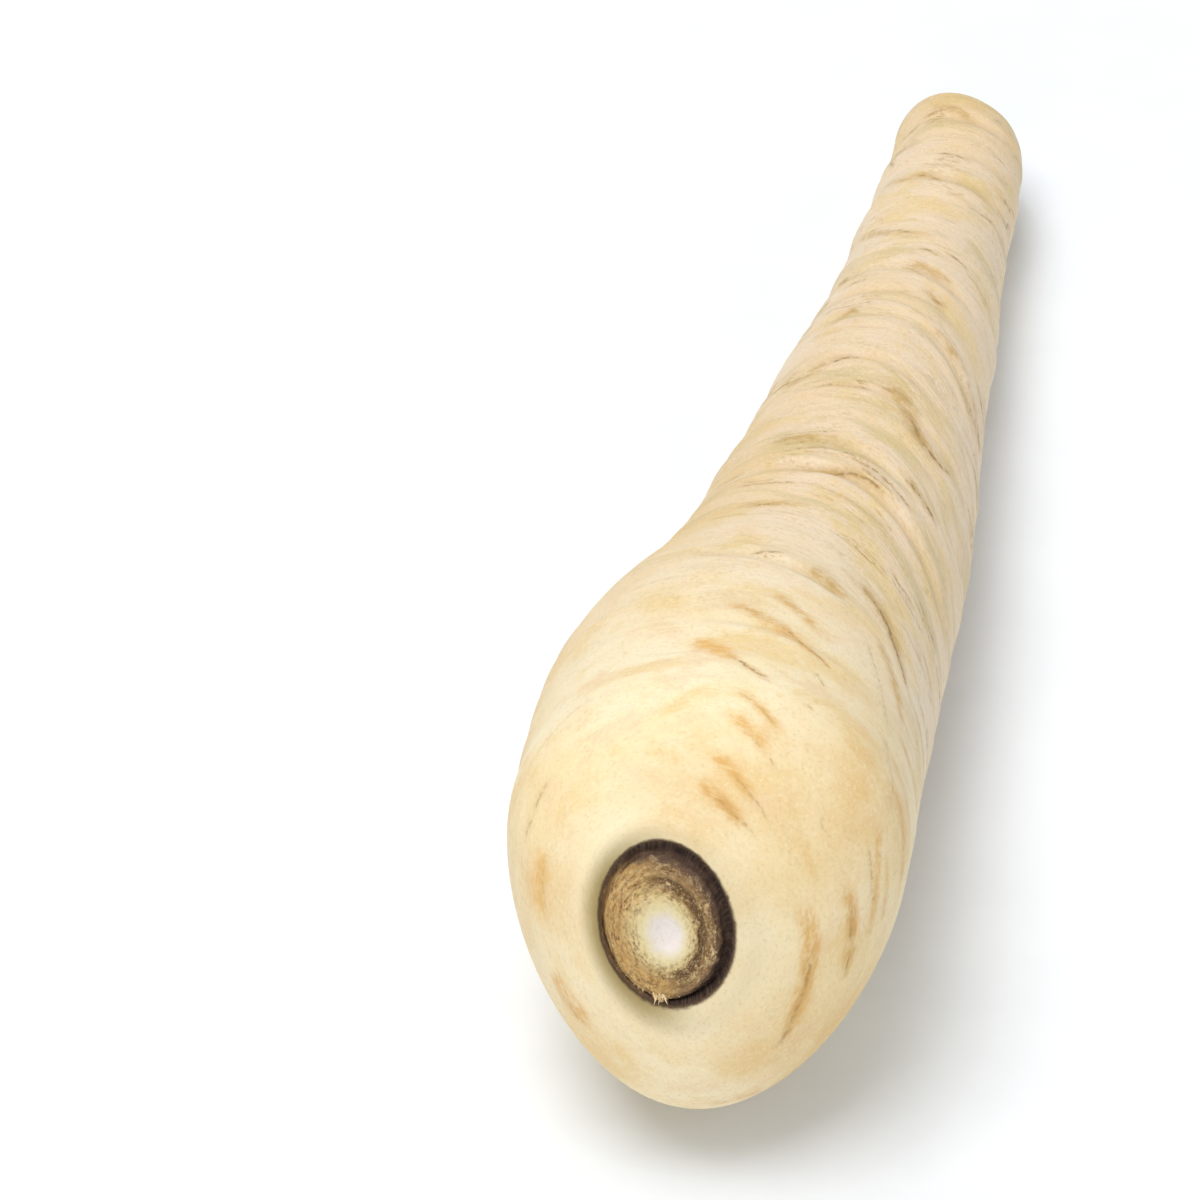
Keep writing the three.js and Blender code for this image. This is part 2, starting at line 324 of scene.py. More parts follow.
def tail_lip(t, turn):
    """The cut's rounded rim: a quarter of a circle from the skin, t = 0, to the cut face, t = 1."""
    bend = np.pi / 2 * t
    share = 1 - TAIL_LIP / size_at(HALF, LENGTH) * (1 - np.cos(bend)) + 0 * turn
    along = LENGTH - TAIL_LIP * (1 - np.sin(bend)) + 0 * turn
    return (along, *section_at(along, share, turn, 0))


def tail_face(part, turn):
    """The cut face: the rim's offsets times part, from 1 at its edge to 0 in its dished middle."""
    _, side, up = tail_lip(np.ones_like(part), turn)
    return LENGTH - TAIL_DISH * (1 - part**2) + 0 * turn, side * part, up * part


def settled(along, side, up):
    """Points in space: the tail's slant moves them along, then all sink by the depth of the flat
    spots and none goes below the surface that the root lies on."""
    tail = rise(LENGTH - TAIL_SLANT_REACH, LENGTH, along)
    points = placed(along + TAIL_SLANT * tail * side / size_at(HALF, along), side, up)
    points[..., 2] = np.maximum(points[..., 2] - REST_DEPTH, 0)
    return points


def steps(count):
    """A column of even steps from just above 0 to 1."""
    return np.linspace(0, 1, count + 1)[1:, None]


def root_grid():
    """The rows of the root from the stump to the tail's cut: pit, shoulder, long skin, rounded rim
    and cut face, stacked. Each row also gets numbers of its own: its distance along the skin from
    the pit's rim, its radius as the length round it over two pi, its share of the way out of the
    pit and of the way into the cut face."""
    turn = np.linspace(0, 2 * np.pi, COLUMNS, endpoint=False)[None, :]
    pit_rows = steps(PIT_ROWS)[:-1]
    shoulder_rows = np.vstack([[[0.0]], steps(SHOULDER_ROWS)])
    end = LENGTH - TAIL_LIP
    *long_skin, fold = body(CROWN_DEPTH + (end - CROWN_DEPTH) * steps(BODY_ROWS), turn)
    face_rows = 1 - steps(FACE_ROWS)[:-1]
    bands = [pit(pit_rows, turn), shoulder(shoulder_rows, turn), long_skin]
    bands += [tail_lip(steps(LIP_ROWS), turn), tail_face(face_rows, turn)]
    points = settled(*(np.vstack([band[i] + 0 * turn for band in bands]) for i in range(3)))
    before, after = len(pit_rows) + len(shoulder_rows), LIP_ROWS + len(face_rows)
    ahead = np.linalg.norm(np.diff(points, axis=0), axis=-1).mean(1)
    run = np.concatenate([[0], np.cumsum(ahead)])
    radius = np.linalg.norm(np.roll(points, -1, 1) - points, axis=-1).sum(1) / (2 * np.pi)
    in_cut = np.zeros(len(points))
    in_cut[-after:] = np.concatenate([0.5 * steps(LIP_ROWS)[:, 0], 1 - 0.5 * face_rows[:, 0]])
    return {
        "points": points,
        "turn": turn[0],
        "run": run - run[len(pit_rows)],
        "radius": radius,
        "in_pit": np.concatenate([pit_rows[:, 0], np.ones(len(points) - len(pit_rows))]),
        "in_cut": in_cut,
        "fold": np.pad(fold, ((before, after), (0, 0))),
    }


# Fine relief in millimetres, and the rings' wobble in radians: step along, cells round, height, seed.
WRINKLES = [
    (2.2, 16, 0.09, 11),
    (4.4, 9, 0.17, 12),
    (9.0, 5, 0.22, 13),
]
STUMP_STRANDS = (3.0, 84, 0.09, 21)
STUMP_PORES = (0.6, 44, 0.16, 22)
RING_WOBBLE = (4.0, 7, 1.5, 23)
TAIL_GRAIN = (0.8, 30, 0.10, 24)
RING_HEIGHT = 0.12
RING_RATE = 5.5
WRINKLES_GROW = (15, 95)
CROWN_SMOOTHNESS = 0.3
SCAR_CUT = 0.16
SCAR_CUT_WIDTH = 1.2

# Stains and scars that the skin shows. Each has its places as (millimetres along the skin from the
# pit's rim, degrees round), half its width in millimetres, strength, and tone from orange, 0, to
# dark brown, 1. A stain is soft and wide, a scar is a thin crisp line.
STAINS = [
    ([(47, 98), (45, 93), (42, 87), (39, 82)], 1.95, 0.95, 0.12),
    ([(40, 84), (36, 78), (32, 72)], 1.04, 0.56, 0.3),
    ([(60, 92), (57, 82), (55, 74), (52, 66), (49, 58)], 1.7, 0.85, 0.25),
    ([(66, 84), (63, 74), (60, 66), (56, 57)], 1.5, 0.7, 0.2),
    ([(27, 84), (26, 78), (23, 70), (20, 62)], 1.04, 0.67, 0.15),
    ([(22, 83), (21, 78), (19, 70), (17, 64)], 1.43, 0.84, 0.12),
    ([(15, 85), (14, 78), (12.5, 69), (11, 58)], 1.3, 0.84, 0.15),
    ([(11, 87), (9.5, 78), (8.5, 68), (8, 56)], 1.3, 0.95, 0.25),
    ([(78, 76), (78, 68), (75, 59)], 2.6, 0.85, 0.15),
    ([(86, 66), (86, 50), (83, 42), (78, 36), (71, 26)], 2.0, 0.9, 0.3),
    ([(76, 50), (70, 41), (62, 33), (52, 28)], 1.5, 0.75, 0.25),
    ([(16, 16), (18, -2), (19, -13), (20, -22)], 1.56, 0.84, 0.3),
    ([(9, 14), (11, -2), (12, -15), (13, -28), (14, -40), (14.5, -50)], 1.8, 0.95, 0.2),
    ([(15, 160), (14, 172), (14, 184), (14, 194)], 2.86, 0.67, 0.1),
    ([(16, 203), (15, 215), (13, 228)], 2.2, 0.85, 0.2),
    ([(20, 274), (21, 291), (26, 304)], 2.08, 0.45, 0.35),
    ([(24, 30), (22, 12), (22, -4), (23, -18)], 1.1, 0.6, 0.2),
    ([(33, 34), (30, 18), (29, 2), (30, -14)], 1.2, 0.55, 0.25),
    ([(42, 38), (38, 22), (36, 6), (37, -8)], 1.2, 0.5, 0.25),
    ([(53, 34), (50, 16), (50, 0)], 1.3, 0.5, 0.3),
    ([(13, 40), (12, 26), (12, 14)], 1.1, 0.4, 0.2),
    ([(149, 134), (149, 121), (154, 108), (154, 93)], 1.44, 0.69, 0.3),
    ([(149, 80), (146, 69), (141, 59), (141, 48), (147, 25)], 2.21, 0.83, 0.3),
    ([(127, 60), (127, 50), (127, 34)], 1.44, 0.69, 0.25),
    ([(126, 118), (126, 107), (126, 90), (126, 78)], 1.44, 0.69, 0.2),
    ([(113, 116), (113, 99), (116, 84), (117, 73), (117, 52)], 1.55, 0.77, 0.2),
    ([(98, 116), (99, 103), (100, 93), (101, 79)], 1.44, 0.69, 0.2),
    ([(173, 68), (173, 50), (174, 37)], 1.55, 0.69, 0.2),
    ([(168, 123), (172, 114), (173, 103)], 1.33, 0.69, 0.25),
    ([(184, 79), (183, 67), (184, 58)], 1.1, 0.69, 0.25),
    ([(252, 114), (250, 89), (246, 65)], 1.33, 0.69, 0.2),
    ([(230, 146), (227, 118), (227, 99), (224, 62)], 1.44, 0.69, 0.2),
    ([(211, 142), (206, 112), (204, 94), (206, 65)], 1.33, 0.69, 0.2),
    ([(193, 93), (193, 71), (193, 55)], 1.22, 0.62, 0.25),
]
SCARS = [
    ([(43, 88), (40, 84), (37, 79), (34, 74)], 0.42, 0.95, 0.66),
    ([(57, 78), (54, 70), (51, 63), (49, 58)], 0.42, 0.85, 0.5),
    ([(59, 87), (57, 80)], 0.3, 0.5, 0.5),
    ([(27, 82), (25, 76), (22, 67)], 0.28, 0.6, 0.45),
    ([(20, 78), (18, 68), (16, 60)], 0.28, 0.55, 0.5),
    ([(13.5, 76), (12, 66), (10.5, 52)], 0.28, 0.65, 0.55),
    ([(9.5, 80), (8.6, 68), (8, 52)], 0.32, 0.7, 0.5),
    ([(46, 64), (42, 60)], 0.3, 0.7, 0.7),
    ([(31, 65), (29, 61)], 0.28, 0.6, 0.7),
    ([(86, 62), (86, 50), (83, 42), (78, 36), (71, 26)], 0.55, 1.0, 0.85),
    ([(72, 54), (63, 46), (53, 39), (46, 37)], 0.3, 0.5, 0.45),
    ([(46, 38), (36, 34), (25, 24)], 0.3, 0.5, 0.45),
    ([(17, 8), (18, -4), (19, -14), (20, -20)], 0.36, 0.75, 0.55),
    ([(21, 24), (21, 9), (22, -2)], 0.36, 0.65, 0.45),
    ([(11.5, -6), (12.3, -18), (13.4, -32), (14.3, -42), (14.6, -50)], 0.5, 0.85, 0.55),
    ([(13, 162), (13, 176), (13, 188)], 0.3, 0.45, 0.5),
    ([(17, 208), (16, 218), (14, 226)], 0.45, 0.6, 0.4),
    ([(152, 110), (154, 103), (154, 95)], 0.45, 0.88, 0.7),
    ([(145, 66), (141, 57), (141, 46), (145, 32)], 0.52, 1.0, 0.6),
    ([(127, 58), (127, 48), (127, 36)], 0.47, 1.0, 0.75),
    ([(124, 112), (125, 100)], 0.39, 0.75, 0.6),
    ([(114, 92), (117, 76), (117, 60)], 0.45, 0.81, 0.55),
    ([(98, 110), (99, 98)], 0.39, 0.75, 0.55),
    ([(77, 95), (80, 84)], 0.45, 0.75, 0.5),
    ([(183, 74), (183, 64)], 0.39, 0.75, 0.6),
    ([(227, 110), (227, 98), (225, 82)], 0.39, 0.75, 0.5),
    ([(206, 108), (204, 94)], 0.39, 0.75, 0.5),
]

# Golden places of the skin, partly its own golden tone and partly painted shade and warm bounce
# light towards its edges and underside: millimetres from the pit's rim, degrees round, the two
# reaches, amount.
GOLDEN_AND_SHADED_PLACES = [
    (20, 178, 24, 36, 0.6),
    (24, 236, 20, 36, 0.6),
    (24, 318, 20, 32, 0.9),
    (20, 36, 26, 30, 0.75),
    (7, 86, 9, 26, 0.75),
    (62, 160, 30, 26, 0.6),
    (104, 146, 42, 34, 0.9),
    (150, 115, 26, 30, 0.4),
    (252, 95, 14, 70, 0.7),
    (70, 265, 50, 44, 0.6),
    (175, 235, 60, 50, 0.55),
]

# How far a mark reaches in half widths, and where along its path it fades in and out.
SCAR_REACH = 4.0
SCAR_IN, SCAR_OUT = (0, 0.2), (0.7, 1)
STAIN_REACH = 2.4
STAIN_IN, STAIN_OUT = (-0.1, 0.2), (0.6, 1)
PATH_POINTS = 14

# Groups of short strokes side by side on the body, drawn at random with this seed.
GROUPS = 46
GROUP_SEED = 17
GROUP_RUN = (62, 250)
GROUP_GAP = (1.0, 2.0)

# Scars and stains on the rest of the skin, drawn at random with this seed.
RANDOM_COUNT = 130
RANDOM_SEED = 29
RANDOM_START, RANDOM_REACH = 10, 245
STAIN_CHANCE, SCAR_CHANCE = 0.45, 0.7
SEEN_SIDE = (15, 135)
SEEN_SIDE_STRENGTH = 0.4


def outward(points):
    """Unit normals of the grid: the step to the next row crossed with the step round the row."""
    ahead = np.gradient(points, axis=0)
    around = np.roll(points, -1, 1) - np.roll(points, 1, 1)
    normal = np.cross(ahead, around)
    return normal / np.maximum(np.linalg.norm(normal, axis=-1, keepdims=True), 1e-12)


def on_skin(grid, run, degrees):
    """Points of the grid at distances along the skin and degrees round, blended between rows and
    between columns."""
    row = np.interp(run, grid["run"], np.arange(len(grid["run"])))
    column = np.mod(np.asarray(degrees) / 360 * COLUMNS, COLUMNS)
    i = np.clip(np.floor(row).astype(int), 0, len(grid["run"]) - 2)
    j = np.floor(column).astype(int) % COLUMNS
    s, t = (row - i)[:, None], (column - np.floor(column))[:, None]
    points = grid["points"]
    near = points[i, j] * (1 - t) + points[i, (j + 1) % COLUMNS] * t
    far = points[i + 1, j] * (1 - t) + points[i + 1, (j + 1) % COLUMNS] * t
    return near * (1 - s) + far * s


def smooth_path(places, count):
    """A smooth path through places: the cubic whose slope at each place is half the step between
    its two neighbours, at count even steps."""
    knots = np.array(places, float)
    ends = np.vstack([2 * knots[0] - knots[1], knots, 2 * knots[-1] - knots[-2]])
    slope = (ends[2:] - ends[:-2]) / 2
    at = np.linspace(0, len(knots) - 1, count)
    i = np.minimum(at.astype(int), len(knots) - 2)
    t = (at - i)[:, None]
    return cubic(t, knots[i], knots[i + 1], slope[i], slope[i + 1])


def random_marks():
    """Short stains and scars across the root, at random places, with random length, slope, width,
    strength and tone, fainter on the side where the listed marks are."""
    rng = np.random.default_rng(RANDOM_SEED)
    stains, scars = [], []
    for _ in range(RANDOM_COUNT):
        run, middle = RANDOM_START + RANDOM_REACH * rng.random() ** 0.75, rng.uniform(0, 360)
        length = rng.uniform(5, 14) + 14 * rng.random() ** 4
        slope, bow = rng.normal(0, 1.1), rng.normal(0, 0.7)
        strength, tone = rng.uniform(0.35, 0.9), rng.uniform(0.3, 0.9)
        if SEEN_SIDE[0] < middle < SEEN_SIDE[1]:
            strength *= SEEN_SIDE_STRENGTH
        places = [(run - slope, middle - length), (run + bow, middle), (run + slope, middle + length)]
        if rng.random() < STAIN_CHANCE:
            stains.append((places, rng.uniform(0.8, 1.8), 0.8 * strength, 0.4 * tone))
        if rng.random() < SCAR_CHANCE:
            scars.append((places, rng.uniform(0.26, 0.42), strength, tone))
    return stains, scars


def stroke_groups():
    """Faint scars in groups: two to five strokes across the root, side by side, each with its own
    length, bow and strength."""
    rng = np.random.default_rng(GROUP_SEED)
    strokes = []
    for _ in range(GROUPS):
        run, middle = rng.uniform(*GROUP_RUN), rng.uniform(0, 360)
        gap, slope = rng.uniform(*GROUP_GAP), rng.normal(0, 0.8)
        for i in range(int(rng.integers(2, 6))):
            at, side = run + gap * i + rng.normal(0, 0.3), middle + rng.normal(0, 9)
            length, bow = rng.uniform(7, 20), rng.normal(0, 0.5)
            places = [(at - slope, side - length), (at + bow, side), (at + slope, side + length)]
            strokes.append((places, rng.uniform(0.3, 0.55), rng.uniform(0.25, 0.75), rng.uniform(0.25, 0.5)))
    return strokes


def path_distance(grid, facing, places, reach):
    """The grid's points near a path over the skin: their numbers, their distance from the nearest
    straight piece of the path, with a sign for the side, and their place along it from 0 to 1."""
    points = grid["points"].reshape(-1, 3)
    path = on_skin(grid, *smooth_path(places, PATH_POINTS).T)
    inside = (points > path.min(0) - reach) & (points < path.max(0) + reach)
    near = np.flatnonzero(inside.all(1))
    start, piece = path[:-1, None], np.diff(path, axis=0)[:, None]
    away = points[near] - start
    t = np.clip((away * piece).sum(-1) / (piece**2).sum(-1), 0, 1)
    away -= t[..., None] * piece
    distance = np.linalg.norm(away, axis=-1)
    nearest = distance.argmin(0)
    pick = (nearest, np.arange(len(near)))
    side = np.sign((away[pick] * np.cross(facing[near], piece[nearest, 0])).sum(-1))
    return near, side * distance[pick], (nearest + t[pick]) / (PATH_POINTS - 1)


def scar_field(grid, facing, scars):
    """For every point, its signed distance from the strongest scar near it in half widths, the
    scar's strength, which fades to its ends and sides, and its tone."""
    field = np.tile([SCAR_REACH, 0, 0.5], (len(facing), 1))
    for places, width, strength, tone in scars:
        near, distance, place = path_distance(grid, facing, places, SCAR_REACH * width)
        share = distance / width
        fade = rise(*SCAR_IN, place) * (1 - rise(*SCAR_OUT, place))
        strong = strength * fade * (1 - rise(0.4, 1, np.abs(share) / SCAR_REACH))
        wins = strong > field[near, 1]
        field[near[wins], 0] = share[wins]
        field[near[wins], 1] = strong[wins]
        field[near[wins], 2] = tone
    return field


def stain_field(grid, facing, stains):
    """For every point, how stained it is, a bell of its distance from the strongest stain near it,
    the stain's tone, and a zero that fills the vector."""
    field = np.zeros((len(facing), 3))
    for places, width, strength, tone in stains:
        near, distance, place = path_distance(grid, facing, places, STAIN_REACH * width)
        fade = rise(*STAIN_IN, place) * (1 - rise(*STAIN_OUT, place))
        amount = strength * fade * bell(distance, 0, width)
        wins = amount > field[near, 0]
        field[near[wins], 0] = amount[wins]
        field[near[wins], 1] = tone
    return field


def golden_and_shade_field(grid):
    """How golden each point of the skin is, partly its own tone and partly painted shade and warm
    bounce light: the strongest of the places' bells, each a bell along the root times a bell round it."""
    run = grid["run"][:, None]
    turn = np.degrees(grid["turn"])[None, :]
    golden_and_shade = 0 * (run + turn)
    for middle, side, reach, spread, amount in GOLDEN_AND_SHADED_PLACES:
        away = np.mod(turn - side + 180, 360) - 180
        golden_and_shade = np.maximum(golden_and_shade, amount * bell(run, middle, reach) * bell(away, 0, spread))
    return golden_and_shade


def layer(run, turn, step, cells, height, seed):
    """One layer of fine relief: the lattice times its height."""
    return height * lattice(run, turn, step, cells, seed)


def fine_relief(grid, scar):
    """Millimetres that each point moves outwards: wrinkles across the skin, quieter on the crown,
    grooves along the scars, and fibres, pores and rings on the stump and the wall of the pit."""
    run = grid["run"][:, None] + 0 * grid["turn"]
    turn = grid["turn"][None, :] + 0 * run
    in_pit, in_cut = grid["in_pit"][:, None], grid["in_cut"][:, None]
    skin_only = rise(0, 6, run) * (1 - rise(0, 0.3, in_cut))
    calm = CROWN_SMOOTHNESS + (1 - CROWN_SMOOTHNESS) * rise(*WRINKLES_GROW, run)
    relief = sum(layer(run, turn, *wrinkle) for wrinkle in WRINKLES) * calm * skin_only
    relief -= SCAR_CUT * scar[..., 1] * bell(scar[..., 0], 0, SCAR_CUT_WIDTH) * skin_only
    stump = 1 - rise(0.93, 1, in_pit)
    strands = layer(run, turn, *STUMP_STRANDS) * rise(0.3, 0.75, in_pit)
    pores = layer(run, turn, *STUMP_PORES) * rise(0.3, 0.5, in_pit)
    wave = np.sin(run * RING_RATE + layer(run, turn, *RING_WOBBLE))
    rings = RING_HEIGHT * wave * rise(0.45, 0.6, in_pit)
    cut = layer(run, turn, *TAIL_GRAIN) * rise(0.6, 0.8, in_cut)
    return relief + (strands + pores + rings) * stump + cut


def add_mesh(name, points, faces, material):
    """A smooth-shaded mesh object at the origin from points in millimetres and lists of faces."""
    mesh = bpy.data.meshes.new(name)
    mesh.from_pydata((points * MM).tolist(), [], faces)
    mesh.shade_smooth()
    mesh.materials.append(material)
    obj = bpy.data.objects.new(name, mesh)
    bpy.context.scene.collection.objects.link(obj)
    return obj


def add_attribute(obj, name, values):
    """A number, or a vector of three, for each point of the mesh."""
    kind = "FLOAT" if values.ndim == 1 else "FLOAT_VECTOR"
    attribute = obj.data.attributes.new(name, kind, "POINT")
    attribute.data.foreach_set("value" if kind == "FLOAT" else "vector", values.astype(np.float32).ravel())


def band_faces(rows, columns):
    """Four-sided faces between the rows of a grid that closes on itself round each row."""
    here = np.arange((rows - 1) * columns).reshape(rows - 1, columns)
    after = np.roll(here, -1, 1)
    return np.stack([here, here + columns, after + columns, after], -1).reshape(-1, 4).tolist()


def fan_faces(first, pole, columns, outwards):
    """Triangles from one row of a grid to a single point; outwards sets which way they face."""
    ring = first + np.arange(columns)
    after = np.roll(ring, -1)
    middle = np.full(columns, pole)
    return np.stack([middle, ring, after] if outwards else [ring, middle, after], -1).tolist()


def with_ends(values):
    """A grid's values as one long list, with those of the points that close its two ends, each the
    mean of its last row."""
    ends = np.stack([values[0].mean(0), values[-1].mean(0)])
    return np.concatenate([values.reshape(-1, *values.shape[2:]), ends])


def build_root(material):
    """The whole root as one closed surface: the grid moved outwards along its normals by the fine
    relief, kept above the surface that it lies on, with one point at each end. It is moved level
    so that its box has the same middle as the node's."""
    grid = root_grid()
    shape = grid["points"].shape[:2]
    normals = outward(grid["points"])
    facing = normals.reshape(-1, 3)
    stains, scars = random_marks()
    scar = scar_field(grid, facing, scars + stroke_groups() + SCARS).reshape(*shape, 3)
    points = grid["points"] + fine_relief(grid, scar)[..., None] * normals
    points[..., 2] = np.maximum(points[..., 2], 0)
    points = with_ends(points)
    low, high = (np.array(corner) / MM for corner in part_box("parsnip"))
    shift = (low + high - points.min(0) - points.max(0)) / 2
    shift[2] = 0
    rows, columns = shape
    count = rows * columns
    faces = band_faces(rows, columns)
    faces += fan_faces(0, count, columns, True) + fan_faces(count - columns, count + 1, columns, False)
    root = add_mesh("parsnip_root", points + shift, faces, material)
    turn = grid["turn"][None, :]
    run, radius, part = grid["run"][:, None], grid["radius"][:, None], grid["in_pit"][:, None]
    fields = {
        "growth": np.stack([radius * np.cos(turn), run + 0 * turn, radius * np.sin(turn)], -1) * MM,
        "stump": np.stack([part * np.cos(turn), part * np.sin(turn), part + 0 * turn], -1),
        "scar": scar,
        "stain": stain_field(grid, facing, stains + STAINS).reshape(*shape, 3),
        "run": run + 0 * turn,
        "golden_and_shade": golden_and_shade_field(grid),
        "fold": grid["fold"],
        "cut": grid["in_cut"][:, None] + 0 * turn,
    }
    for name, values in fields.items():
        add_attribute(root, name, with_ends(values))
    return root, grid, shift


def srgb(red, green, blue):
    """A colour given as screen values from 0 to 255, as the linear colour that a shader reads."""
    value = np.array([red, green, blue]) / 255
    linear = np.where(value <= 0.04045, value / 12.92, ((value + 0.055) / 1.055) ** 2.4)
    return (*linear.tolist(), 1.0)


class Finish:
    """A material's nodes, made by short calls. Each returns the socket that carries its result, apart
    from node, which returns the node itself."""

    def __init__(self, name, **sockets):
        self.material = bpy.data.materials.new(name)
        self.material.use_nodes = True
        self.tree = self.material.node_tree
        self.shader = self.tree.nodes["Principled BSDF"]
        for socket, value in sockets.items():
            self.shader.inputs[socket.replace("_", " ")].default_value = value

    def node(self, kind, inputs=(), **settings):
        made = self.tree.nodes.new(kind)
        for key, value in settings.items():
            setattr(made, key, value)
        for key, value in dict(inputs).items():
            if isinstance(value, bpy.types.NodeSocket):
                self.tree.links.new(value, made.inputs[key])
            else:
                made.inputs[key].default_value = value
        return made

    def field(self, name, output="Fac"):
        return self.node("ShaderNodeAttribute", attribute_name=name).outputs[output]

    def split(self, vector):
        return self.node("ShaderNodeSeparateXYZ", {"Vector": vector}).outputs

    def math(self, operation, first, second=0.0, clamp=False):
        node = self.node("ShaderNodeMath", {0: first, 1: second}, operation=operation, use_clamp=clamp)
        return node.outputs[0]

    def times(self, first, *others):
        for other in others:
            first = self.math("MULTIPLY", first, other)
        return first

    def plus(self, first, second, clamp=False):
        return self.math("ADD", first, second, clamp)

    def scaled(self, vector, x, y, z):
        """The vector with each direction times its own number."""
        node = self.node("ShaderNodeVectorMath", {0: vector, 1: (x, y, z)}, operation="MULTIPLY")
        return node.outputs[0]

    def noise(self, vector, scale, detail=3.0, roughness=0.5, distortion=0.0):
        inputs = {"Vector": vector, "Scale": scale, "Detail": detail, "Roughness": roughness}
        inputs["Distortion"] = distortion
        return self.node("ShaderNodeTexNoise", inputs).outputs["Fac"]

    def cells(self, vector, scale):
        return self.node("ShaderNodeTexVoronoi", {"Vector": vector, "Scale": scale}).outputs["Distance"]

    def plus_vector(self, vector, value, amount):
        """The vector moved by the value times the amount, the same in all three directions."""
        inputs = {0: value, 1: (amount, amount, amount), 2: vector}
        return self.node("ShaderNodeVectorMath", inputs, operation="MULTIPLY_ADD").outputs[0]

    def spread(self, value, low, high, start=0.0, end=1.0):
        """Smoothly from start, where the value is low, to end, where it is high."""
        inputs = {"Value": value, "From Min": low, "From Max": high, "To Min": start, "To Max": end}
        return self.node("ShaderNodeMapRange", inputs, interpolation_type="SMOOTHSTEP").outputs[0]

    def ramp(self, value, stops):
        node = self.node("ShaderNodeValToRGB", {"Fac": value})
        ramp = node.color_ramp
        while len(ramp.elements) < len(stops):
            ramp.elements.new(0.5)
        for element, (place, colour) in zip(ramp.elements, stops):
            element.position = place
            element.color = colour
        return node.outputs["Color"]

    def mix(self, factor, first, second):
        node = self.node("ShaderNodeMix", data_type="RGBA", clamp_factor=True)
        for socket, value in zip((node.inputs[0], node.inputs[6], node.inputs[7]), (factor, first, second)):
            if isinstance(value, bpy.types.NodeSocket):
                self.tree.links.new(value, socket)
            else:
                socket.default_value = value
        return node.outputs[2]

    def bump(self, height, distance, strength, under=None):
        inputs = {"Height": height, "Distance": distance, "Strength": strength}
        if under is not None:
            inputs["Normal"] = under
        return self.node("ShaderNodeBump", inputs).outputs["Normal"]

    def join(self, socket, value):
        self.tree.links.new(value, self.shader.inputs[socket])


CREAM = srgb(240, 222, 178)
PALE = srgb(243, 230, 196)
YELLOW = srgb(231, 202, 142)
PINK = srgb(234, 208, 170)
BEIGE = srgb(232, 209, 184)
# Golden: partly the skin's own tone, partly painted shade and warm bounce light.
GOLD_AND_SHADE = srgb(224, 188, 124)
OLIVE = srgb(203, 183, 134)
# Tan for specks and scar halos, and also painted shade in the folds' troughs.
TAN_AND_CREASE_SHADE = srgb(196, 166, 112)
ORANGE = srgb(230, 186, 110)
RUST = srgb(212, 164, 92)
BROWN = srgb(158, 118, 68)
DARK = srgb(96, 70, 42)
PALE_CORE = srgb(234, 224, 217)
STRAW = srgb(224, 210, 164)
UMBER = srgb(112, 80, 48)
# The pit's dark wall: the groove's own dark skin and painted shade in the recess.
CORK_AND_RECESS_SHADE = srgb(98, 76, 62)
CHAR_AND_RECESS_SHADE = srgb(58, 43, 36)
# Painted shade on the skin just outside the pit's rim.
PAINTED_RIM_SHADE = srgb(152, 132, 78)
STRAW_BROWN = srgb(190, 158, 98)
MOSS = srgb(158, 126, 72)
ARC_DARK = srgb(134, 100, 60)
ARC_PALE = srgb(236, 208, 156)
PORE_PALE = srgb(236, 208, 158)
STRAND = srgb(122, 94, 72)
RIB = srgb(122, 96, 80)
RIM_LINE = srgb(84, 64, 40)
FLESH = srgb(240, 228, 196)
FLESH_TAN = srgb(222, 200, 150)
FIBRE_TAN = srgb(206, 168, 110)
INK = [(0.0, ORANGE), (0.35, RUST), (0.65, BROWN), (1.0, DARK)]

# The stump's colours from its middle, 0, to the pit's rim, 1, on its lit tan side and on its shaded
# step side, which is darker by painted shade and has the step's shadow painted as a dark brown band.
CORE_STOPS = [(0.0, PALE_CORE), (0.19, PALE_CORE), (0.33, STRAW)]
LIT_TAN_SIDE = CORE_STOPS + [
    (0.5, srgb(220, 194, 136)),
    (0.64, srgb(208, 168, 106)),
    (0.9, srgb(206, 164, 102)),
    (1.0, srgb(150, 112, 74)),
]
SHADED_STEP_SIDE = CORE_STOPS + [
    (0.47, srgb(216, 194, 138)),
    (0.52, srgb(150, 114, 66)),
    (0.57, srgb(96, 70, 44)),
    (0.63, srgb(118, 90, 58)),
    (0.71, srgb(166, 134, 90)),
    (0.8, srgb(128, 100, 72)),
    (0.87, CORK_AND_RECESS_SHADE),
    (1.0, CHAR_AND_RECESS_SHADE),
]

# Where round the stump the middle of its shaded side is, with the step's painted shadow.
SHADED_SIDE_TURN = np.radians(15)
# Where the dark wall starts, as shares of the way out of the pit: its thin side and its thick side,
# the side away from the light, where more painted shade is laid in the recess.
WALL_THIN = 0.95
WALL_THICK = 0.83
# Where the looks change along the skin, in millimetres from the pit's rim.
BODY_LOOKS = (25, 115)
BODY_INK = (45, 85)
PALE_RING = (1, 16)
# How far out from the pit's rim the painted shade reaches.
RIM_SHADE_REACH = (0.0, 5.2)


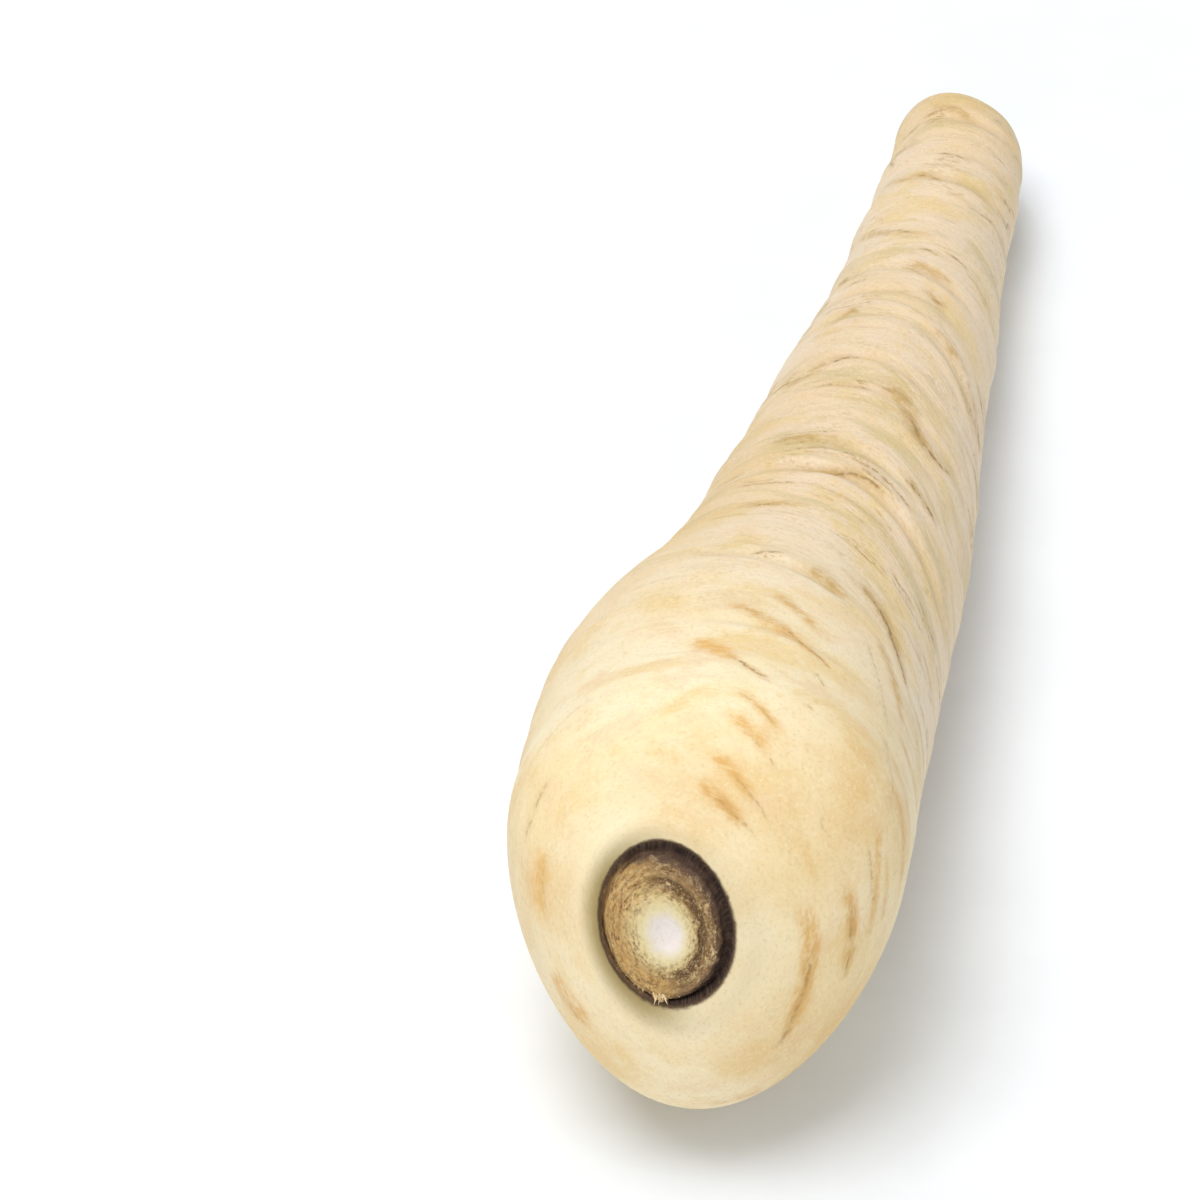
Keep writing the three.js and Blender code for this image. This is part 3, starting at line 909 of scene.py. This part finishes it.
def skin_colours(f, growth, run):
    """Cream skin: wide patches of pale, yellow and pinkish beige, a pale ring round the pit, golden
    places that are partly the skin's own tone and partly painted shade and warm bounce light, olive
    bands and lines across the root that grow towards the tail, clusters of small tan specks, and a
    fine lighter and darker grain."""
    colour = f.mix(f.spread(f.noise(growth, 40, 3, 0.55, 0.4), 0.4, 0.62), CREAM, PALE)
    lower = f.spread(run, *BODY_LOOKS)
    colour = f.mix(f.times(lower, 0.8), colour, BEIGE)
    yellow = f.noise(f.scaled(growth, 1, 1.3, 1), 70, 5, 0.66, 0.3)
    colour = f.mix(f.spread(yellow, 0.47, 0.66, 0, 0.75), colour, YELLOW)
    pink = f.noise(f.scaled(growth, 1, 1.2, 1), 90, 5, 0.66, 0.3)
    colour = f.mix(f.spread(pink, 0.48, 0.66, 0, 0.7), colour, PINK)
    colour = f.mix(f.spread(run, *PALE_RING, 0.8, 0), colour, PALE)
    # Golden places, partly painted shade and warm bounce light towards the root's edges and underside.
    golden_and_shade = f.times(f.field("golden_and_shade"), f.spread(yellow, 0.3, 0.6, 0.5, 1))
    colour = f.mix(golden_and_shade, colour, GOLD_AND_SHADE)
    bands = f.noise(f.scaled(growth, 0.45, 1.5, 0.45), 105, 5, 0.62, 0.7)
    colour = f.mix(f.times(f.spread(bands, 0.47, 0.66, 0, 0.6), lower), colour, OLIVE)
    lines = f.noise(f.scaled(growth, 0.42, 1.8, 0.42), 330, 5, 0.68, 0.6)
    colour = f.mix(f.times(f.spread(lines, 0.5, 0.7, 0, 0.25), lower), colour, OLIVE)
    clusters = f.spread(f.noise(f.scaled(growth, 0.7, 1.3, 0.7), 160, 4, 0.6), 0.46, 0.66)
    specks = f.spread(f.noise(f.scaled(growth, 0.8, 1.2, 0.8), 1150, 2, 0.6), 0.52, 0.62)
    spots = f.times(specks, clusters, f.plus(f.times(lower, 0.3), 0.15))
    colour = f.mix(spots, colour, TAN_AND_CREASE_SHADE)
    grain = f.noise(growth, 1500, 3, 0.7)
    colour = f.mix(f.spread(grain, 0.52, 0.7, 0, 0.35), colour, OLIVE)
    colour = f.mix(f.spread(grain, 0.46, 0.3, 0, 0.4), colour, PALE)
    return colour, f.times(lines, lower), bands, grain


def skin_marks(f, colour, growth, run):
    """Soft stains made of fine strands, then scars as thin dark lines in a tan halo, broken into
    dashes, both coloured by their tone and more olive on the body than on the crown."""
    strands = f.spread(f.noise(f.scaled(growth, 0.5, 1.5, 0.5), 900, 3, 0.7, 0.3), 0.38, 0.62)
    blots = f.spread(f.noise(growth, 330, 5, 0.7), 0.36, 0.64)
    amount, tone, _ = f.split(f.field("stain", "Vector"))
    uneven = f.plus(f.times(strands, 0.4), f.times(blots, 0.55))
    stained = f.spread(f.times(amount, f.plus(uneven, 0.45)), 0.02, 1.05, 0, 0.9)
    olive = f.spread(run, *BODY_INK, 0, 0.85)
    inked = f.ramp(f.plus(tone, f.times(strands, amount, 0.12)), INK)
    colour = f.mix(stained, colour, f.mix(olive, inked, STRAW_BROWN))
    across, strength, tone = f.split(f.field("scar", "Vector"))
    across = f.plus(across, f.times(f.math("SUBTRACT", blots, 0.5), 0.9))
    square = f.times(across, across)
    halo = f.times(f.math("EXPONENT", f.times(square, -0.22)), strength, f.plus(f.times(uneven, 0.4), 0.1))
    colour = f.mix(halo, colour, TAN_AND_CREASE_SHADE)
    broken = f.plus(f.spread(f.noise(growth, 800, 3, 0.65), 0.44, 0.56, 0.05, 0.9), f.times(olive, 0.25))
    core = f.times(f.math("EXPONENT", f.times(square, -2.2)), strength, broken)
    return f.mix(core, colour, f.mix(olive, f.ramp(tone, INK), MOSS))


def pit_colours(f, colour, growth, run):
    """The pit from its middle out: a pale core, a straw stump with arcs, dots and pores that is tan
    on the lit side and darker on the other by painted shade, with the step's shadow painted as a
    brown band, short strands across its edge, then a dark wall with paler ribs, the groove's own
    dark skin with painted shade in the recess, thicker on the shaded side; a thin dark line at the
    rim and painted shade on the skin outside it, wider on the tan side."""
    stump = f.field("stump", "Vector")
    spoke = f.node("ShaderNodeVectorMath", {0: f.scaled(stump, 1, 1, 0)}, operation="NORMALIZE").outputs[0]
    side, up, _ = f.split(spoke)
    part = f.split(stump)[2]
    toward_shaded_side = f.plus(f.times(side, np.cos(SHADED_SIDE_TURN)), f.times(up, np.sin(SHADED_SIDE_TURN)))
    coarse = f.noise(growth, 640, 5, 0.7)
    pores = f.noise(growth, 2100, 2, 0.7)
    place = f.plus(part, f.times(f.math("SUBTRACT", coarse, 0.5), 0.2))
    lit_side, shaded_side = f.ramp(place, LIT_TAN_SIDE), f.ramp(place, SHADED_STEP_SIDE)
    # Painted shade: the side away from the light takes the darker copy of the stump's colours, with the
    # step's shadow as a dark brown band.
    rings = f.mix(f.spread(toward_shaded_side, -0.45, 0.25), lit_side, shaded_side)
    specked = f.times(f.spread(part, 0.3, 0.52, 0.1, 1), f.spread(part, 0.84, 0.92, 1, 0.3))
    specked = f.times(specked, f.spread(f.noise(growth, 260, 3, 0.6), 0.38, 0.6, 0.3, 1))
    ring = f.node("ShaderNodeVectorMath", {0: f.scaled(stump, 0, 0, 2.4), 1: f.scaled(spoke, 0.6, 0.6, 0)})
    arcs = f.noise(ring.outputs[0], 9.5, 5, 0.7)
    rings = f.mix(f.times(f.spread(arcs, 0.49, 0.58, 0, 0.75), specked), rings, ARC_DARK)
    rings = f.mix(f.times(f.spread(arcs, 0.48, 0.38, 0, 0.75), specked), rings, ARC_PALE)
    dots = f.spread(f.cells(f.plus_vector(growth, coarse, 0.0016), 1150), 0.14, 0.46, 0.75, 0)
    rings = f.mix(f.times(dots, specked), rings, UMBER)
    rings = f.mix(f.times(f.spread(pores, 0.5, 0.36, 0, 0.5), specked), rings, PORE_PALE)
    fibres = f.noise(spoke, 44, 4, 0.7)
    strands = f.times(f.spread(fibres, 0.5, 0.66, 0, 0.4), f.spread(part, 0.74, 0.86))
    rings = f.mix(strands, rings, STRAND)
    # The dark wall: the groove's own dark skin with painted shade in the recess, reaching further in on the
    # side away from the light.
    wall = f.math("SUBTRACT", place, f.spread(toward_shaded_side, -0.9, -0.05, WALL_THIN, WALL_THICK))
    rings = f.mix(f.spread(wall, -0.03, 0.04, 0, 0.9), rings, CORK_AND_RECESS_SHADE)
    rings = f.mix(f.spread(wall, 0.02, 0.12), rings, CHAR_AND_RECESS_SHADE)
    ribs = f.noise(spoke, 30, 3, 0.7)
    ribbed = f.times(f.spread(wall, 0.0, 0.06), f.spread(ribs, 0.48, 0.6, 0, 0.5))
    rings = f.mix(ribbed, rings, RIB)
    edge = f.plus(run, f.times(f.math("SUBTRACT", coarse, 0.5), 0.8))
    # Painted shade on the skin just outside the rim, where the rim's soft roll shades it, strongest on the
    # tan side.
    painted_rim_shade = f.times(f.spread(edge, *RIM_SHADE_REACH, 1, 0), f.spread(toward_shaded_side, -0.8, 0.3, 0.95, 0.18))
    colour = f.mix(painted_rim_shade, colour, PAINTED_RIM_SHADE)
    colour = f.mix(f.spread(edge, 0.0, 0.55, 1, 0), colour, RIM_LINE)
    inside = f.spread(edge, -0.45, -0.05, 1, 0)
    return f.mix(inside, colour, rings), f.times(inside, f.spread(part, 0.3, 0.6)), pores, fibres


def root_finish():
    """The skin, the pit and the tail's cut face in one finish, blended by the mesh's own fields."""
    f = Finish("parsnip skin", Subsurface_Weight=0.25, Subsurface_Scale=0.003)
    f.shader.inputs["Subsurface Radius"].default_value = (1.0, 0.62, 0.3)
    f.shader.inputs["Specular IOR Level"].default_value = 0.3
    growth = f.field("growth", "Vector")
    run = f.field("run")
    colour, lines, bands, grain = skin_colours(f, growth, run)
    # Painted shade in the folds' troughs: tan by how deep in a fold each point is.
    colour = f.mix(f.times(f.field("fold"), 0.45), colour, TAN_AND_CREASE_SHADE)
    colour = skin_marks(f, colour, growth, run)
    colour, corky, pores, fibres = pit_colours(f, colour, growth, run)
    flesh = f.mix(f.spread(f.noise(growth, 700, 3, 0.6), 0.35, 0.7), FLESH, FLESH_TAN)
    colour = f.mix(f.spread(f.field("cut"), 0.42, 0.5), colour, flesh)
    f.join("Base Color", colour)
    f.join("Roughness", f.plus(f.spread(bands, 0.3, 0.7, 0.46, 0.6), f.times(corky, 0.3), True))
    fine = f.bump(grain, 0.0002, 0.4)
    wrinkled = f.bump(lines, 0.0005, 0.6, fine)
    f.join("Normal", f.bump(f.times(f.plus(pores, fibres), corky), 0.0004, 0.8, wrinkled))
    return f.material


# Torn fibres at the stump's edge: the cluster at its lowest point and fine ones beside it.
FIBRE_SEED = 7
CLUSTER = {"count": 22, "degrees": (254, 268), "length": (0.8, 2.3), "radius": (0.15, 0.27), "inset": 3}
FRINGE = {"count": 34, "degrees": (205, 288), "length": (0.3, 0.8), "radius": (0.06, 0.1), "inset": 0}
FIBRE_SIDES = 6
FIBRE_RINGS = 6
# Where they start and which way they lean: shares of the way out of the pit, rows, millimetres.
STUMP_EDGE = 0.82
LEAN_FROM, LEAN_TO = 0.09, 0.18
FIBRE_ROWS = 4
FIBRE_ROOT = 0.25
FIBRE_LIFT = (0.15, 0.6)
FIBRE_STRAY = 0.22
FIBRE_BEND = 0.18
FIBRE_DROOP = 0.15


def fibre_mesh(start, direction, bend, length, radius):
    """One splinter: a path that curves from its start by the square of the way along, carrying a
    round profile that thins to a point by the square root of what is left of the way."""
    t = np.linspace(0, 1, FIBRE_RINGS)[:, None]
    path = start + direction * length * t + bend * length * t**2
    first = np.cross(direction, (0, 0, 1.0))
    first /= np.linalg.norm(first)
    second = np.cross(direction, first)
    angle = np.linspace(0, 2 * np.pi, FIBRE_SIDES, endpoint=False)[None, :, None]
    thick = radius * np.sqrt(1.02 - t)[:, None]
    rings = path[:, None] + thick * (np.cos(angle) * first + np.sin(angle) * second)
    count = FIBRE_RINGS * FIBRE_SIDES
    points = np.vstack([rings.reshape(-1, 3), path[:1], path[-1:] + direction * radius])
    faces = [np.array(band_faces(FIBRE_RINGS, FIBRE_SIDES))]
    faces.append(np.array(fan_faces(0, count, FIBRE_SIDES, True)))
    faces.append(np.array(fan_faces(count - FIBRE_SIDES, count + 1, FIBRE_SIDES, False)))
    return points, faces


def build_fibres(grid, shift, material):
    """Splinters that start inside the stump's edge and lean out over the groove, each with its own
    random place, length and bend."""
    rng = np.random.default_rng(FIBRE_SEED)
    normals = outward(grid["points"])
    edge = int(STUMP_EDGE * PIT_ROWS)
    outer, inner = int((STUMP_EDGE + LEAN_TO) * PIT_ROWS), int((STUMP_EDGE - LEAN_FROM) * PIT_ROWS)
    points, faces, used = [], [], 0
    for group in (CLUSTER, FRINGE):
        for _ in range(group["count"]):
            column = int(rng.uniform(*group["degrees"]) / 360 * COLUMNS) % COLUMNS
            row = edge - group["inset"] + int(rng.integers(-FIBRE_ROWS, FIBRE_ROWS))
            start = grid["points"][row, column] - FIBRE_ROOT * normals[row, column]
            out = grid["points"][outer, column] - grid["points"][inner, column]
            out /= np.linalg.norm(out)
            lift = normals[inner, column]
            direction = out + rng.uniform(*FIBRE_LIFT) * lift + rng.normal(0, FIBRE_STRAY, 3)
            direction /= np.linalg.norm(direction)
            bend = rng.normal(0, FIBRE_BEND, 3) - FIBRE_DROOP * lift
            length, radius = rng.uniform(*group["length"]), rng.uniform(*group["radius"])
            made, sides = fibre_mesh(start, direction, bend, length, radius)
            points.append(made)
            for block in sides:
                faces += (block + used).tolist()
            used += len(made)
    return add_mesh("stump_fibres", np.vstack(points) + shift, faces, material)


def fibre_finish():
    """Dry torn fibre: pale straw, darker in streaks."""
    f = Finish("torn fibre", Roughness=0.7)
    place = f.node("ShaderNodeTexCoord").outputs["Object"]
    streak = f.noise(place, 1800, 2, 0.5)
    f.join("Base Color", f.mix(f.spread(streak, 0.35, 0.65), CREAM, FIBRE_TAN))
    f.join("Normal", f.bump(streak, 0.0001, 0.4))
    return f.material


FLOOR_SIZE = 12.0
FLOOR_SHADES = (0.865, 0.9, 0.94, 1), (0.885, 0.92, 0.96, 1)


def floor_finish():
    """A plain matt pale board with a hardly visible grain."""
    f = Finish("pale floor", Roughness=0.8)
    f.shader.inputs["Specular IOR Level"].default_value = 0.2
    place = f.node("ShaderNodeTexCoord").outputs["Object"]
    grain = f.noise(place, 60, 2, 0.5)
    f.join("Base Color", f.mix(f.spread(grain, 0.3, 0.7), *FLOOR_SHADES))
    return f.material


def build_floor(material):
    """A level square just under the root's flat spots."""
    half = FLOOR_SIZE / 2 / MM
    corners = np.array([(-half, -half, 0), (half, -half, 0), (half, half, 0), (-half, half, 0)])
    return add_mesh("floor", corners, [[0, 1, 2, 3]], material)


# The camera: where it looks from, and the pixel of the photograph at which it sees one point.
CAMERA_AZIMUTH = np.radians(12.9)
CAMERA_ELEVATION = np.radians(43.4)
CAMERA_DISTANCE = 0.9
LENS = 172.8
SENSOR = 36.0
PICTURE = 1200
SEEN_ALONG = 30.0
SEEN_HEIGHT = 33.2
SEEN_AT = (719, 861)


def place_camera(shift):
    """The camera stands back from the seen point by its distance, then moves sideways and up by
    what puts that point at its pixel: pixels off the middle, times distance over focal length."""
    a, e = CAMERA_AZIMUTH, CAMERA_ELEVATION
    back = Vector((np.sin(a) * np.cos(e), -np.cos(a) * np.cos(e), np.sin(e)))
    right = Vector((np.cos(a), np.sin(a), 0))
    up = back.cross(right)
    per_pixel = CAMERA_DISTANCE * SENSOR / LENS / PICTURE
    seen = Vector((np.array([0, SEEN_ALONG, SEEN_HEIGHT]) + shift) * MM)
    spot = seen + back * CAMERA_DISTANCE
    spot -= right * (SEEN_AT[0] - PICTURE / 2) * per_pixel
    spot += up * (SEEN_AT[1] - PICTURE / 2) * per_pixel
    data = bpy.data.cameras.new("camera")
    data.lens = LENS
    data.sensor_width = SENSOR
    data.clip_start = 0.01
    camera = bpy.data.objects.new("camera", data)
    camera.matrix_world = Matrix((
        (right.x, up.x, back.x, spot.x),
        (right.y, up.y, back.y, spot.y),
        (right.z, up.z, back.z, spot.z),
        (0, 0, 0, 1),
    ))
    bpy.context.scene.collection.objects.link(camera)
    bpy.context.scene.camera = camera


# The lights: name, place and size in metres, watts, colour. They face the middle of the root.
LIGHTS = [
    ("key", (-0.28, -0.28, 1.37), 0.8, 11.9, (1.0, 0.995, 0.985)),
    ("back", (-0.5, 0.6, 1.2), 0.9, 3.8, (1.0, 0.995, 0.985)),
    ("front", (0.0, -1.4, 0.45), 0.8, 4.2, (1.0, 0.995, 0.99)),
    ("right", (1.1, 0.5, 0.7), 0.8, 2.2, (1.0, 0.98, 0.95)),
]
LIGHTS_FACE = (0, 0, 0.03)
SKY = (0.97, 0.985, 1.0, 1)
SKY_STRENGTH = 0.43


def add_light(name, place, size, power, colour):
    """A square soft light that faces the middle of the root."""
    data = bpy.data.lights.new(name, "AREA")
    data.shape = "SQUARE"
    data.size = size
    data.energy = power
    data.color = colour
    light = bpy.data.objects.new(name, data)
    light.location = place
    light.rotation_euler = (Vector(LIGHTS_FACE) - Vector(place)).to_track_quat("-Z", "Y").to_euler()
    bpy.context.scene.collection.objects.link(light)


def light_scene():
    """A large soft key from above, weaker lights from the back left, the front and the back right,
    and an even pale sky."""
    for light in LIGHTS:
        add_light(*light)
    world = bpy.data.worlds.new("studio")
    world.use_nodes = True
    world.node_tree.nodes["Background"].inputs["Color"].default_value = SKY
    world.node_tree.nodes["Background"].inputs["Strength"].default_value = SKY_STRENGTH
    bpy.context.scene.world = world
    bpy.context.scene.view_settings.view_transform = "Standard"


root, grid, shift = build_root(root_finish())
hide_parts("parsnip")
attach(root, "root")

fibres = build_fibres(grid, shift, fibre_finish())
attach(fibres, "root")

build_floor(floor_finish())
place_camera(shift)
light_scene()
